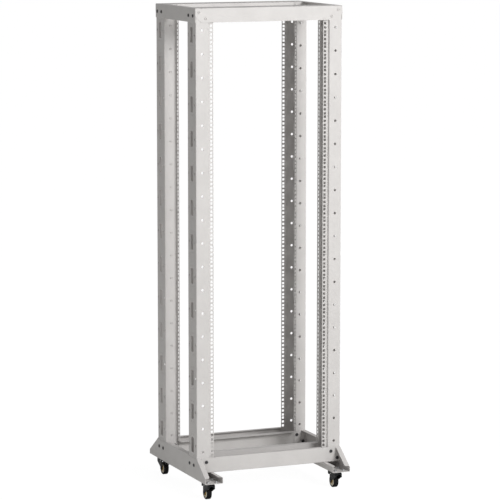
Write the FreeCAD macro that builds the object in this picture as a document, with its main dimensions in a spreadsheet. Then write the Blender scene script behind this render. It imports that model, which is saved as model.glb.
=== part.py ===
import FreeCAD, Part
import math
import os
import re

import Sketcher

# Four post open frame rack, 19 inch, on four swivel casters with brakes.
# Millimetres. X runs to the right, Y to the back, Z up; the origin is on the floor under the centre.

doc = FreeCAD.newDocument("OpenFrameRack")
sizes = doc.addObject("Spreadsheet::Sheet", "Sizes")

# Every driving size, with what it measures.
DRIVING = [
    ("rack_units", 37, "usable height in rack units"),
    ("unit_height", 44.45, "one rack unit"),
    ("unit_edge", 6.35, "unit boundary to its nearest square hole"),
    ("unit_step", 15.875, "spacing of the square holes inside a unit"),
    ("rail_opening", 450, "clear width between the mounting rails"),
    ("rail_spacing", 465.1, "width between the two columns of square holes"),
    ("rail_hole", 9.5, "side of a square hole"),
    ("post_spread", 597, "width over the posts' side plates"),
    ("frame_depth", 416, "depth over the posts' faces"),
    ("face_width", 52, "width of a post's face"),
    ("rail_recess", 8, "depth of the rail behind the face"),
    ("post_depth", 85, "depth of a post's side plate"),
    ("lip_depth", 22, "depth of the lip behind the inner flange"),
    ("post_sheet", 2, "post sheet thickness"),
    ("beam_sheet", 1.5, "beam and foot sheet thickness"),
    ("bend", 1.5, "inside radius of a post's bends"),
    ("face_hole", 5, "radius of a face hole"),
    ("face_hole_inset", 26, "face hole to the outside of the side plate"),
    ("slot_height", 59, "height of a side slot"),
    ("slot_width", 25, "width of a side slot"),
    ("slot_pitch", 130, "spacing of the side slots"),
    ("slot_first", 44.45, "first slot's centre above the lowest unit"),
    ("slot_count", 13, "side slots in a post"),
    ("rail_gap_low", 2, "base beam to the lowest unit"),
    ("rail_gap_high", 6.4, "highest unit to the top beam"),
    ("top_beam_height", 54, "height of the top beams"),
    ("top_beam_corner", 24, "corner cut of a top beam's wall"),
    ("top_flange", 20, "flange of a side beam"),
    ("relief_length", 22, "relief slit in the top beam's web"),
    ("relief_depth", 5, "depth of the relief slit"),
    ("relief_inset", 4.5, "slit to the end of the beam"),
    ("base_beam_height", 58.5, "height of the base beams"),
    ("foot_length", 600, "length of a foot"),
    ("foot_width", 72, "width of a foot's channel"),
    ("foot_lip_height", 24, "height of the channel's inner wall"),
    ("foot_lip_width", 15, "width of the lip on the inner wall"),
    ("foot_end_height", 20, "height of the outer wall at a foot's end"),
    ("foot_flange", 20, "flange along the outer wall's top"),
    ("foot_flange_end", 4, "slope flange's lower end to the foot's end"),
    ("caster_height", 72, "floor to the foot's underside"),
    ("caster_inset", 42, "foot's end to the swivel axis"),
    ("caster_trail", 28, "swivel axis to the wheel axle"),
    ("plate_width", 46, "caster plate across"),
    ("plate_length", 58, "caster plate along"),
    ("plate_sheet", 2.5, "caster plate thickness"),
    ("race_radius", 19, "swivel race"),
    ("race_height", 6, "height of the swivel race"),
    ("kingpin_radius", 5, "kingpin"),
    ("kingpin_head", 8, "radius of the kingpin's head"),
    ("kingpin_head_height", 2, "height of the kingpin's head"),
    ("running_gap", 0.3, "gap between faces that turn on each other"),
    ("bore_gap", 0.05, "radial clearance of a turning fit"),
    ("fork_sheet", 2.5, "fork sheet thickness"),
    ("fork_front", 16, "swivel axis to the fork's front"),
    ("fork_back", 6, "axle to the fork's back"),
    ("fork_skirt", 11, "height of the fork's front skirt at its sides"),
    ("fork_crown", 2.5, "height of the skirt at its crown"),
    ("boss_radius", 7.5, "axle boss on the fork"),
    ("wheel_radius", 25, "caster wheel"),
    ("wheel_width", 19, "caster wheel across"),
    ("hub_radius", 18.5, "wheel hub"),
    ("bush_radius", 6, "bush in the hub"),
    ("bush_flange", 9.5, "radius of the bush's flanges, which meet the fork"),
    ("hub_side_gap", 3, "tyre to the fork's cheek"),
    ("axle_radius", 4, "wheel axle"),
    ("axle_flat", 5, "square ends of the axle, in the cheeks"),
    ("axle_head", 5.5, "radius of the axle's heads"),
    ("axle_head_height", 2, "height of an axle head"),
    ("pedal_barrel", 3.5, "radius of the brake pedal's barrel"),
    ("pedal_setback", 4, "pedal pin ahead of the wheel axle"),
    ("pedal_drop", 5, "fork's web to the pedal pin"),
    ("pedal_reach", 42, "pedal pin to the pedal's tip"),
    ("pedal_width", 18, "brake pedal across"),
    ("pedal_sheet", 3, "brake pedal thickness"),
    ("pedal_slope", 8, "fall of the pedal to its tip"),
]
NAMES = {name for name, _, _ in DRIVING}

for row, (name, number, note) in enumerate(DRIVING, start=1):
    sizes.set(f"A{row}", name)
    sizes.set(f"B{row}", str(number))
    sizes.set(f"C{row}", note)
    sizes.setAlias(f"B{row}", name)
doc.recompute()

# Lengths that several pieces share, as formulas of the driving sizes.
HALF_SPREAD = "post_spread / 2"
HALF_WIDTH = "(post_spread / 2 + beam_sheet)"
HALF_DEPTH = "frame_depth / 2"
RAIL_EDGE = "rail_opening / 2"
FACE_EDGE = "(post_spread / 2 - face_width)"
BEAM_BASE = "(caster_height + foot_lip_height)"
POST_BASE = "(caster_height + foot_lip_height + beam_sheet)"
UNITS_BASE = "(caster_height + foot_lip_height + base_beam_height + rail_gap_low)"
UNITS_HEIGHT = "(rack_units * unit_height)"
FRAME_TOP = f"({UNITS_BASE} + {UNITS_HEIGHT} + rail_gap_high + top_beam_height)"
POST_LENGTH = f"({FRAME_TOP} - beam_sheet - {POST_BASE})"
UNITS_OFFSET = f"({UNITS_BASE} - {POST_BASE})"
SWIVEL_X = "(post_spread / 2 + beam_sheet - foot_width / 2)"
SWIVEL_Y = "(foot_length / 2 - caster_inset)"
PLATE_BASE = "(caster_height - plate_sheet)"
RACE_TOP = f"({PLATE_BASE} - running_gap)"
WEB_TOP = f"({RACE_TOP} - race_height)"
WEB_BASE = f"({WEB_TOP} - fork_sheet)"
CHEEK_INNER = "(wheel_width / 2 + hub_side_gap)"
CHEEK_OUTER = "(wheel_width / 2 + hub_side_gap + fork_sheet)"


# What repeats is drawn with few flats: sides of a face hole and of a caster's small round parts,
# and the bevel that stands for a bend, as a share of its radius (the chord of a quarter turn).
HOLE_SIDES = 6
ROUND_SIDES = 10
BOSS_SIDES = 4
ARCH_SIDES = 6
HEXAGON = 6
BEND_FLAT = 0.586

# The outer bevel of a beam's bend stays inside its sheet, and a sloping flange is drawn thicker
# by the slope, as shares of the sheet.
BEAM_BEVEL = "0.9 * beam_sheet"
SLOPE_DROP = "1.3 * beam_sheet"

# The pedal's tongue leaves its barrel just under the top, and a caster plate's corners are cut.
TONGUE_TOP = "0.9 * pedal_barrel"
PLATE_CORNER = "2 * plate_sheet"


def formula(text):
    """The text with each driving size's name pointing at its cell."""
    return re.sub(r"[a-z_]+", lambda m: f"Sizes.{m.group()}" if m.group() in NAMES else m.group(), text)


def value(text):
    """The number that a formula gives now."""
    return float(sizes.evalExpression(formula(text)))


def bind(thing, path, text):
    """Ties a property to a formula of the driving sizes."""
    thing.setExpression(path, formula(text))


def new_body(name, x="0", y="0", z="0"):
    """A body with its own label, placed at x, y, z."""
    body = doc.addObject("PartDesign::Body", name)
    body.Label = name
    for axis, text in zip("xyz", (x, y, z)):
        if text != "0":
            bind(body, f"Placement.Base.{axis}", text)
    return body


def new_sketch(body, role, offset="0"):
    """A sketch on one of the body's own origin planes, moved off it along the plane's normal."""
    sketch = body.newObject("Sketcher::SketchObject", body.Name + "_sketch")
    plane = next(feature for feature in body.Origin.OriginFeatures if feature.Role == role)
    sketch.AttachmentSupport = (plane, [""])
    sketch.MapMode = "FlatFace"
    if offset != "0":
        bind(sketch, "AttachmentOffset.Base.z", offset)
    return sketch


def hold(sketch, kind, first, point, text):
    """Holds one coordinate of a point to a formula, measured from the sketch's origin."""
    constraint = Sketcher.Constraint(kind, -1, 1, first, point, value(text))
    index = sketch.addConstraint(constraint)
    bind(sketch, f"Constraints[{index}]", text)


def outline(sketch, corners):
    """A closed run of straight lines through corners given as pairs of formulas."""
    points = [FreeCAD.Vector(value(x), value(y), 0) for x, y in corners]
    start = sketch.GeometryCount
    count = len(points)
    for i in range(count):
        sketch.addGeometry(Part.LineSegment(points[i], points[(i + 1) % count]), False)
    for i in range(count):
        sketch.addConstraint(Sketcher.Constraint("Coincident", start + i, 2, start + (i + 1) % count, 1))
    for i, (x, y) in enumerate(corners):
        hold(sketch, "DistanceX", start + i, 1, x)
        hold(sketch, "DistanceY", start + i, 1, y)


def rectangle(sketch, left, low, right, high):
    """A rectangle between two opposite corners."""
    outline(sketch, [(left, low), (right, low), (right, high), (left, high)])


def square(sketch, x, y, side):
    """A square about x, y."""
    rectangle(sketch, f"{x} - {side} / 2", f"{y} - {side} / 2", f"{x} + {side} / 2", f"{y} + {side} / 2")


def circle(sketch, x, y, radius):
    """A circle about x, y."""
    centre = FreeCAD.Vector(value(x), value(y), 0)
    index = sketch.addGeometry(Part.Circle(centre, FreeCAD.Vector(0, 0, 1), value(radius)), False)
    hold(sketch, "DistanceX", index, 3, x)
    hold(sketch, "DistanceY", index, 3, y)
    ring = sketch.addConstraint(Sketcher.Constraint("Radius", index, value(radius)))
    bind(sketch, f"Constraints[{ring}]", radius)


def polygon(sketch, x, y, radius, sides):
    """A small round form drawn with flats, its corners on the circle."""
    steps = [math.pi * (2 * i + 1) / sides for i in range(sides)]
    outline(sketch, [(f"{x} + {math.cos(a):.6f} * {radius}", f"{y} + {math.sin(a):.6f} * {radius}") for a in steps])


def half_circle(x, y, radius, start, sides, rise=None):
    """Corners of half a circle from an angle on, counter-clockwise; rise makes it a half ellipse that high."""
    corners = []
    for i in range(sides + 1):
        angle = start + math.pi * i / sides
        across, up = round(math.cos(angle), 6), round(math.sin(angle), 6)
        corners.append((f"{x} + ({across}) * {radius}", f"{y} + ({up}) * {rise or radius}"))
    return corners


def around(radius, sides):
    """The corner radius of a polygon whose flats lie on a circle."""
    return f"(({radius}) / {math.cos(math.pi / sides):.6f})"


def pad(body, sketch, length, symmetric=False, reverse=False):
    """Adds the sketch's outline as a prism."""
    feature = body.newObject("PartDesign::Pad", body.Name + "_pad")
    feature.Profile = sketch
    bind(feature, "Length", length)
    feature.SideType = "Symmetric" if symmetric else "One side"
    feature.Reversed = reverse
    return feature


def pocket(body, sketch, length=None, symmetric=False, reverse=False):
    """Cuts the sketch's outline, to a length or right through."""
    before = body.Shape.Volume
    feature = body.newObject("PartDesign::Pocket", body.Name + "_pocket")
    feature.Profile = sketch
    if length is None:
        feature.Type = "ThroughAll"
    else:
        bind(feature, "Length", length)
    feature.SideType = "Symmetric" if symmetric else "One side"
    feature.Reversed = reverse
    doc.recompute()
    if body.Shape.Volume >= before:
        raise RuntimeError(f"{feature.Label} cuts nothing")
    return feature


def repeat_up(body, feature, step, count):
    """Repeats a cut upwards."""
    before = body.Shape.Volume
    pattern = body.newObject("PartDesign::LinearPattern", body.Name + "_pattern")
    pattern.Originals = [feature]
    pattern.Direction = (feature.Profile[0], ["V_Axis"])
    pattern.Mode = "Spacing"
    bind(pattern, "Offset", step)
    bind(pattern, "Occurrences", count)
    body.Tip = pattern
    doc.recompute()
    if body.Shape.Volume >= before:
        raise RuntimeError(f"{pattern.Label} cuts nothing")
    return pattern


def edges_at(shape, direction, places):
    """Names of the straight edges along a direction that pass through the places, given in the other two axes."""
    axes = [i for i in range(3) if i != direction]
    names = []
    for number, edge in enumerate(shape.Edges, start=1):
        ends = [vertex.Point for vertex in edge.Vertexes]
        if len(ends) != 2:
            continue
        if any(abs(ends[0][i] - ends[1][i]) > 0.001 for i in axes):
            continue
        for place in places:
            if all(abs(ends[0][i] - at) < 0.01 for i, at in zip(axes, place)):
                names.append(f"Edge{number}")
    return names


def bevel_edges(body, base, direction, places, width):
    """Bevels the edges along a direction that pass through the places."""
    doc.recompute()
    numbers = [(value(a), value(b)) for a, b in places]
    names = edges_at(base.Shape, direction, numbers)
    if len(names) < len(places):
        raise RuntimeError(f"{body.Label} lacks an edge to bevel")
    feature = body.newObject("PartDesign::Chamfer", body.Name + "_chamfer")
    feature.Base = (base, names)
    bind(feature, "Size", width)
    doc.recompute()
    return feature


def mirror(source, name, normal):
    """The mirror image of a sub-part across the rack's centre plane."""
    image = doc.addObject("Part::Mirroring", name)
    image.Label = name
    image.Source = source
    image.Normal = normal
    return image


ACROSS = FreeCAD.Vector(1, 0, 0)
ALONG = FreeCAD.Vector(0, 1, 0)


def make_post():
    """One bent-sheet post: recessed rail, face, side plate, inner flange and lip."""
    body = new_body("post_front_right", y=f"0 - {HALF_DEPTH}", z=POST_BASE)
    section = new_sketch(body, "XY_Plane")
    side = HALF_SPREAD
    rail_back = "(rail_recess + post_sheet)"
    step_back = f"({FACE_EDGE} + post_sheet)"
    side_back = f"({HALF_SPREAD} - post_sheet)"
    flange_front = "(post_depth - post_sheet)"
    lip_end = "(post_depth + lip_depth)"
    outline(section, [
        (RAIL_EDGE, "rail_recess"),
        (FACE_EDGE, "rail_recess"),
        (FACE_EDGE, "0"),
        (side, "0"),
        (side, "post_depth"),
        (step_back, "post_depth"),
        (step_back, lip_end),
        (FACE_EDGE, lip_end),
        (FACE_EDGE, flange_front),
        (side_back, flange_front),
        (side_back, "post_sheet"),
        (step_back, "post_sheet"),
        (step_back, rail_back),
        (RAIL_EDGE, rail_back),
    ])
    feature = pad(body, section, POST_LENGTH)
    insides = [
        (FACE_EDGE, "rail_recess"),
        (step_back, "post_sheet"),
        (side_back, "post_sheet"),
        (side_back, flange_front),
        (step_back, "post_depth"),
    ]
    outsides = [
        (step_back, rail_back),
        (FACE_EDGE, "0"),
        (side, "0"),
        (side, "post_depth"),
        (FACE_EDGE, flange_front),
    ]
    feature = bevel_edges(body, feature, 2, insides, f"bend * {BEND_FLAT}")
    bevel_edges(body, feature, 2, outsides, f"(bend + post_sheet) * {BEND_FLAT}")

    # The beams' inner walls take the lip's place at both ends.
    ends = new_sketch(body, "YZ_Plane")
    past_lip = f"{lip_end} + post_sheet"
    lip_low = f"({UNITS_OFFSET} - rail_gap_low)"
    lip_high = f"({UNITS_OFFSET} + {UNITS_HEIGHT} + rail_gap_high)"
    rectangle(ends, "post_depth", "0 - post_sheet", past_lip, lip_low)
    rectangle(ends, "post_depth", lip_high, past_lip, f"{POST_LENGTH} + post_sheet")
    pocket(body, ends, reverse=True)

    # Three square holes in every rack unit.
    holes = new_sketch(body, "XZ_Plane")
    left = "(rail_spacing / 2 - rail_hole / 2)"
    right = "(rail_spacing / 2 + rail_hole / 2)"
    for i in range(3):
        centre = f"{UNITS_OFFSET} + unit_edge + {i} * unit_step"
        rectangle(holes, left, f"{centre} - rail_hole / 2", right, f"{centre} + rail_hole / 2")
    unit = pocket(body, holes, "rail_recess + 2 * post_sheet")
    repeat_up(body, unit, "unit_height", "rack_units")

    # A face hole at the middle of every other unit.
    rounds = new_sketch(body, "XZ_Plane")
    polygon(rounds, f"{HALF_SPREAD} - face_hole_inset", f"{UNITS_OFFSET} + unit_height / 2", "face_hole", HOLE_SIDES)
    face = pocket(body, rounds, "2 * post_sheet")
    repeat_up(body, face, "2 * unit_height", "floor((rack_units + 1) / 2)")

    # Long slots down the side plate.
    slots = new_sketch(body, "YZ_Plane")
    low = f"{UNITS_OFFSET} + slot_first - slot_height / 2"
    high = f"{UNITS_OFFSET} + slot_first + slot_height / 2"
    rectangle(slots, "post_depth / 2 - slot_width / 2", low, "post_depth / 2 + slot_width / 2", high)
    slot = pocket(body, slots, reverse=True)
    repeat_up(body, slot, "slot_pitch", "slot_count")
    return body


def make_top_beam():
    """The front top beam, a channel open downwards over the post ends, its outer wall cut at the corners."""
    body = new_body("top_front_beam", y=f"0 - {HALF_DEPTH}", z=FRAME_TOP)
    wall = new_sketch(body, "XZ_Plane")
    half = HALF_WIDTH
    cut_x = f"({HALF_WIDTH} - top_beam_corner)"
    cut_z = "(0 - top_beam_height + top_beam_corner)"
    outline(wall, [
        (f"0 - {half}", "0"),
        (f"0 - {half}", cut_z),
        (f"0 - {cut_x}", "0 - top_beam_height"),
        (cut_x, "0 - top_beam_height"),
        (half, cut_z),
        (half, "0"),
    ])
    pad(body, wall, "beam_sheet")
    channel = new_sketch(body, "YZ_Plane")
    outline(channel, [
        ("0", "0 - beam_sheet"),
        ("post_depth", "0 - beam_sheet"),
        ("post_depth", "0 - top_beam_height"),
        ("post_depth + beam_sheet", "0 - top_beam_height"),
        ("post_depth + beam_sheet", "0"),
        ("0", "0"),
    ])
    web = pad(body, channel, "post_spread", symmetric=True)
    edges = [("0 - beam_sheet", "0"), ("post_depth + beam_sheet", "0")]
    bevel_edges(body, web, 0, edges, BEAM_BEVEL)
    relief = new_sketch(body, "XY_Plane")
    inner = f"({HALF_WIDTH} - relief_inset - relief_length)"
    outer = f"({HALF_WIDTH} - relief_inset)"
    rectangle(relief, inner, "0", outer, "relief_depth")
    rectangle(relief, f"0 - {outer}", "0", f"0 - {inner}", "relief_depth")
    pocket(body, relief, "2 * beam_sheet")
    return body


def make_side_beam():
    """The right top beam: a wall outside the posts, with a flange inwards at its top and bottom between them."""
    body = new_body("top_right_beam", x=HALF_SPREAD, z=FRAME_TOP)
    wall = new_sketch(body, "YZ_Plane")
    rectangle(wall, f"0 - {HALF_DEPTH}", "0 - top_beam_height", HALF_DEPTH, "0")
    pad(body, wall, "beam_sheet")
    reach = f"({HALF_DEPTH} - post_depth - beam_sheet)"
    for low, high in (("0 - beam_sheet", "0"), ("0 - top_beam_height", "beam_sheet - top_beam_height")):
        flange = new_sketch(body, "XZ_Plane")
        rectangle(flange, "0 - top_flange", low, "0", high)
        pad(body, flange, f"2 * {reach}", symmetric=True)
    doc.recompute()
    edges = [("beam_sheet", "0"), ("beam_sheet", "0 - top_beam_height")]
    bevel_edges(body, body.Tip, 1, edges, BEAM_BEVEL)
    return body


def make_base_beam():
    """The front base beam, a channel open upwards that the post ends stand in."""
    body = new_body("base_front_beam", y=f"0 - {HALF_DEPTH}", z=BEAM_BASE)
    section = new_sketch(body, "YZ_Plane")
    outline(section, [
        ("0 - beam_sheet", "0"),
        ("post_depth + beam_sheet", "0"),
        ("post_depth + beam_sheet", "base_beam_height"),
        ("post_depth", "base_beam_height"),
        ("post_depth", "beam_sheet"),
        ("0", "beam_sheet"),
        ("0", "base_beam_height"),
        ("0 - beam_sheet", "base_beam_height"),
    ])
    channel = pad(body, section, "post_spread", symmetric=True)
    edges = [("0 - beam_sheet", "0"), ("post_depth + beam_sheet", "0")]
    bevel_edges(body, channel, 0, edges, BEAM_BEVEL)
    return body


def make_foot():
    """The right foot: a low channel with a tall sloping outer wall, flanged along its top."""
    body = new_body("foot_right", z="caster_height")
    half = "foot_length / 2"
    inner = f"({HALF_WIDTH} - foot_width)"
    section = new_sketch(body, "XZ_Plane")
    outline(section, [
        (HALF_WIDTH, "0"),
        (HALF_WIDTH, "foot_end_height"),
        (HALF_SPREAD, "foot_end_height"),
        (HALF_SPREAD, "beam_sheet"),
        (f"{inner} + beam_sheet", "beam_sheet"),
        (f"{inner} + beam_sheet", "foot_lip_height - beam_sheet"),
        (f"{inner} + foot_lip_width", "foot_lip_height - beam_sheet"),
        (f"{inner} + foot_lip_width", "foot_lip_height"),
        (inner, "foot_lip_height"),
        (inner, "0"),
    ])
    pad(body, section, "foot_length", symmetric=True)
    top = "(foot_lip_height + base_beam_height)"
    shoulder = f"({HALF_DEPTH} + beam_sheet)"
    wall = new_sketch(body, "YZ_Plane", HALF_SPREAD)
    outline(wall, [
        (f"0 - {half}", "0"),
        (half, "0"),
        (half, "foot_end_height"),
        (shoulder, top),
        (f"0 - {shoulder}", top),
        (f"0 - {half}", "foot_end_height"),
    ])
    pad(body, wall, "beam_sheet")

    # The slope flange lies under the wall's sloping edge, its lower end short of the foot's end.
    fall = f"(({top} - foot_end_height) / ({half} - {shoulder}))"
    end_y = f"({half} - foot_flange_end)"
    end_z = f"(foot_end_height + foot_flange_end * {fall})"
    slope = new_sketch(body, "YZ_Plane", f"{HALF_SPREAD} - foot_flange + beam_sheet")
    outline(slope, [
        (shoulder, top),
        (end_y, end_z),
        (end_y, f"{end_z} - {SLOPE_DROP}"),
        (shoulder, f"{top} - {SLOPE_DROP}"),
    ])
    outline(slope, [
        (f"0 - {shoulder}", top),
        (f"0 - {end_y}", end_z),
        (f"0 - {end_y}", f"{end_z} - {SLOPE_DROP}"),
        (f"0 - {shoulder}", f"{top} - {SLOPE_DROP}"),
    ])
    pad(body, slope, "foot_flange")
    edge = new_sketch(body, "YZ_Plane", f"{HALF_SPREAD} - foot_flange + beam_sheet")
    reach = f"({HALF_DEPTH} - post_depth - beam_sheet)"
    rectangle(edge, f"0 - {reach}", f"{top} - beam_sheet", reach, top)
    pad(body, edge, "foot_flange")
    doc.recompute()

    # The lip's ends are cut at 45 degrees, from a sheet below the lip to a sheet above it.
    lip = new_sketch(body, "XY_Plane", "foot_lip_height - 2 * beam_sheet")
    lip_edge = f"({inner} + foot_lip_width)"
    past = f"({half} + beam_sheet)"
    for sign in ("", "0 - "):
        outline(lip, [
            (f"{inner} + beam_sheet", f"{sign}{past}"),
            (f"{lip_edge} + beam_sheet", f"{sign}{past}"),
            (f"{lip_edge} + beam_sheet", f"{sign}({half} - foot_lip_width)"),
        ])
    pocket(body, lip, "3 * beam_sheet", reverse=True)
    return body


def make_caster_plate():
    """The fixed plate under the foot, with the kingpin that the fork turns on."""
    body = new_body("caster_plate_front_right", x=SWIVEL_X, y=f"0 - {SWIVEL_Y}", z=PLATE_BASE)
    plate = new_sketch(body, "XY_Plane")
    rectangle(plate, "0 - plate_width / 2", "0 - plate_length / 2", "plate_width / 2", "plate_length / 2")
    flat = pad(body, plate, "plate_sheet")
    corners = [(f"{a} plate_width / 2", f"{b} plate_length / 2") for a in ("0 -", "0 +") for b in ("0 -", "0 +")]
    bevel_edges(body, flat, 2, corners, PLATE_CORNER)
    pin_length = f"({PLATE_BASE} - {WEB_BASE} + running_gap)"
    pin = new_sketch(body, "XY_Plane")
    polygon(pin, "0", "0", "kingpin_radius", ROUND_SIDES)
    pad(body, pin, pin_length, reverse=True)
    head = new_sketch(body, "XY_Plane", f"0 - {pin_length}")
    polygon(head, "0", "0", "kingpin_head", HEXAGON)
    pad(body, head, "kingpin_head_height", reverse=True)
    return body


def make_fork():
    """The pressed fork: race, web, two cheeks that trail back to the axle, and a front skirt."""
    body = new_body("caster_fork_front_right", x=SWIVEL_X, y=f"0 - {SWIVEL_Y}")
    race = new_sketch(body, "XY_Plane", WEB_BASE)
    polygon(race, "0", "0", "race_radius", ROUND_SIDES)
    pad(body, race, "race_height + fork_sheet")
    back = "(caster_trail + fork_back)"
    web = new_sketch(body, "XY_Plane", WEB_BASE)
    rectangle(web, f"0 - {CHEEK_OUTER}", "0 - fork_front", CHEEK_OUTER, back)
    pad(body, web, "fork_sheet")
    skirt_base = f"({WEB_BASE} - fork_skirt)"
    boss = half_circle("caster_trail", "wheel_radius", "boss_radius", math.pi, BOSS_SIDES)
    for side in (CHEEK_INNER, f"0 - {CHEEK_OUTER}"):
        cheek = new_sketch(body, "YZ_Plane", side)
        outline(cheek, [("0 - fork_front", WEB_TOP), ("0 - fork_front", skirt_base), *boss, (back, WEB_TOP)])
        pad(body, cheek, "fork_sheet")

    # The skirt is cut as an arch over the wheel.
    arch = half_circle("0", skirt_base, CHEEK_INNER, 0, ARCH_SIDES, "(fork_skirt - fork_crown)")
    skirt = new_sketch(body, "XZ_Plane", "fork_front - fork_sheet")
    outline(skirt, [*arch, (f"0 - {CHEEK_INNER}", WEB_BASE), (CHEEK_INNER, WEB_BASE)])
    pad(body, skirt, "fork_sheet")
    doc.recompute()
    bore = new_sketch(body, "XY_Plane")
    polygon(bore, "0", "0", around("kingpin_radius + bore_gap", ROUND_SIDES), ROUND_SIDES)
    pocket(body, bore, reverse=True)
    axle = new_sketch(body, "YZ_Plane")
    square(axle, "caster_trail", "wheel_radius", "axle_flat")
    pocket(body, axle, f"2 * {CHEEK_OUTER} + fork_sheet", symmetric=True)
    return body


def make_wheel():
    """Tyre, hub, bush and axle of one caster."""
    place = {"x": SWIVEL_X, "y": f"0 - {SWIVEL_Y} + caster_trail", "z": "wheel_radius"}
    tyre = new_body("wheel_tyre_front_right", **place)
    ring = new_sketch(tyre, "YZ_Plane")
    circle(ring, "0", "0", "wheel_radius")
    polygon(ring, "0", "0", "hub_radius", ROUND_SIDES)
    pad(tyre, ring, "wheel_width", symmetric=True)

    hub = new_body("wheel_hub_front_right", **place)
    core = new_sketch(hub, "YZ_Plane")
    polygon(core, "0", "0", "hub_radius", ROUND_SIDES)
    polygon(core, "0", "0", "bush_radius", ROUND_SIDES)
    pad(hub, core, "wheel_width", symmetric=True)

    bush = new_body("wheel_bush_front_right", **place)
    bore = around("axle_radius + bore_gap", ROUND_SIDES)
    sleeve = new_sketch(bush, "YZ_Plane")
    polygon(sleeve, "0", "0", "bush_radius", ROUND_SIDES)
    polygon(sleeve, "0", "0", bore, ROUND_SIDES)
    pad(bush, sleeve, "wheel_width", symmetric=True)
    for side in ("wheel_width / 2", f"running_gap - {CHEEK_INNER}"):
        flange = new_sketch(bush, "YZ_Plane", side)
        polygon(flange, "0", "0", "bush_flange", ROUND_SIDES)
        polygon(flange, "0", "0", bore, ROUND_SIDES)
        pad(bush, flange, "hub_side_gap - running_gap")

    axle = new_body("wheel_axle_front_right", **place)
    shank = new_sketch(axle, "YZ_Plane")
    polygon(shank, "0", "0", "axle_radius", ROUND_SIDES)
    pad(axle, shank, f"2 * {CHEEK_INNER}", symmetric=True)
    ends = new_sketch(axle, "YZ_Plane")
    square(ends, "0", "0", "axle_flat")
    pad(axle, ends, f"2 * {CHEEK_OUTER}", symmetric=True)
    for side in (CHEEK_OUTER, f"0 - {CHEEK_OUTER} - axle_head_height"):
        head = new_sketch(axle, "YZ_Plane", side)
        polygon(head, "0", "0", "axle_head", ROUND_SIDES)
        pad(axle, head, "axle_head_height")
    return [tyre, hub, bush, axle]


def make_pedal():
    """The brake pedal: a barrel between the cheeks and a tongue over the wheel."""
    pin_y = f"0 - {SWIVEL_Y} + caster_trail - pedal_setback"
    body = new_body("brake_pedal_front_right", x=SWIVEL_X, y=pin_y, z=f"{WEB_BASE} - pedal_drop")
    barrel = new_sketch(body, "YZ_Plane")
    polygon(barrel, "0", "0", "pedal_barrel", ROUND_SIDES)
    pad(body, barrel, f"2 * ({CHEEK_INNER} - running_gap)", symmetric=True)
    tongue = new_sketch(body, "YZ_Plane")
    outline(tongue, [
        ("0", TONGUE_TOP),
        ("pedal_reach / 2", TONGUE_TOP),
        ("pedal_reach", "pedal_barrel - pedal_slope"),
        ("pedal_reach", "pedal_barrel - pedal_slope - pedal_sheet"),
        ("pedal_reach / 2", f"{TONGUE_TOP} - pedal_sheet"),
        ("0", f"{TONGUE_TOP} - pedal_sheet"),
    ])
    pad(body, tongue, "pedal_width", symmetric=True)
    return body


foot = make_foot()
sources = [
    make_post(),
    make_top_beam(),
    make_side_beam(),
    make_base_beam(),
    make_caster_plate(),
    make_fork(),
    *make_wheel(),
    make_pedal(),
]
doc.recompute()

# Each piece is repeated on the other sides of the rack's two centre planes.
subparts = list(sources)
for piece in sources:
    if "front" in piece.Label:
        subparts.append(mirror(piece, piece.Label.replace("front", "rear"), ALONG))
for piece in list(subparts):
    if "right" in piece.Label:
        subparts.append(mirror(piece, piece.Label.replace("right", "left"), ACROSS))

# A foot is alike front and back, so the left one is the right one turned half round.
foot_reversed = mirror(foot, "foot_reversed", ALONG)
subparts += [foot, mirror(foot_reversed, "foot_left", ACROSS)]
doc.recompute()

for thing in doc.Objects:
    if "Invalid" in thing.State or "Error" in thing.State:
        raise RuntimeError(f"{thing.Label} failed")
for piece in subparts:
    if piece.Shape.isNull() or not piece.Shape.isValid():
        raise RuntimeError(f"{piece.Label} has no valid shape")
    if len(piece.Shape.Solids) != 1:
        raise RuntimeError(f"{piece.Label} is not one solid")

os.makedirs("parts", exist_ok=True)
for piece in subparts:
    piece.Shape.exportStep(f"parts/{piece.Label}.step")
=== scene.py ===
"""Looks of a four post open frame rack: folded steel posts, beams and feet, casters and fasteners.

X runs to the right, Y to the back, Z up, and shapes are worked out in millimetres.
"""

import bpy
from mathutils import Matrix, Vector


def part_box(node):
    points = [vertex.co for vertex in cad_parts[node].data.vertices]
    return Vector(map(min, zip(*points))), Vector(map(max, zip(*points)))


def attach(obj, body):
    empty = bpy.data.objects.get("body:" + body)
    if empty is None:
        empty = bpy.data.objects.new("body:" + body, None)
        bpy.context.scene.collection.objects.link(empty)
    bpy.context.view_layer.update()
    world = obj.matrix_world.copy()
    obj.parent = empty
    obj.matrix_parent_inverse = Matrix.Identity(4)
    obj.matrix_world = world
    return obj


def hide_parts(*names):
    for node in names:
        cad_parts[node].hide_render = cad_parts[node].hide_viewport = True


bl_info = {
    "name": "Open frame rack",
    "version": (1, 0, 0),
    "blender": (4, 5, 0),
    "location": "3D View > Sidebar > Rack",
    "description": "Dresses a four post open frame rack: sheet steel, casters, fasteners and studio",
    "category": "Object",
}

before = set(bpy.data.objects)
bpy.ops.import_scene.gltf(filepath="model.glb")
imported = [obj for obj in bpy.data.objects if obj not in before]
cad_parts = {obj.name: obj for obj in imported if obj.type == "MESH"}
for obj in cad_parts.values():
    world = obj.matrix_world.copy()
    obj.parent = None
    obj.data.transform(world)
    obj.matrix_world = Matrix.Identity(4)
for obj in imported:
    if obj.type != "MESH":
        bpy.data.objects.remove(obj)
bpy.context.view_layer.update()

import math
from types import SimpleNamespace

import bpy
import numpy as np
from bpy.props import FloatProperty, FloatVectorProperty, IntProperty, PointerProperty
from mathutils import geometry

MM = 0.001
# Points of a flat pattern that are nearer than this, in millimetres, are one.
WELD = 1e-4
# Nothing is divided by a length below this one.
SMALL = 1e-12
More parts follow.
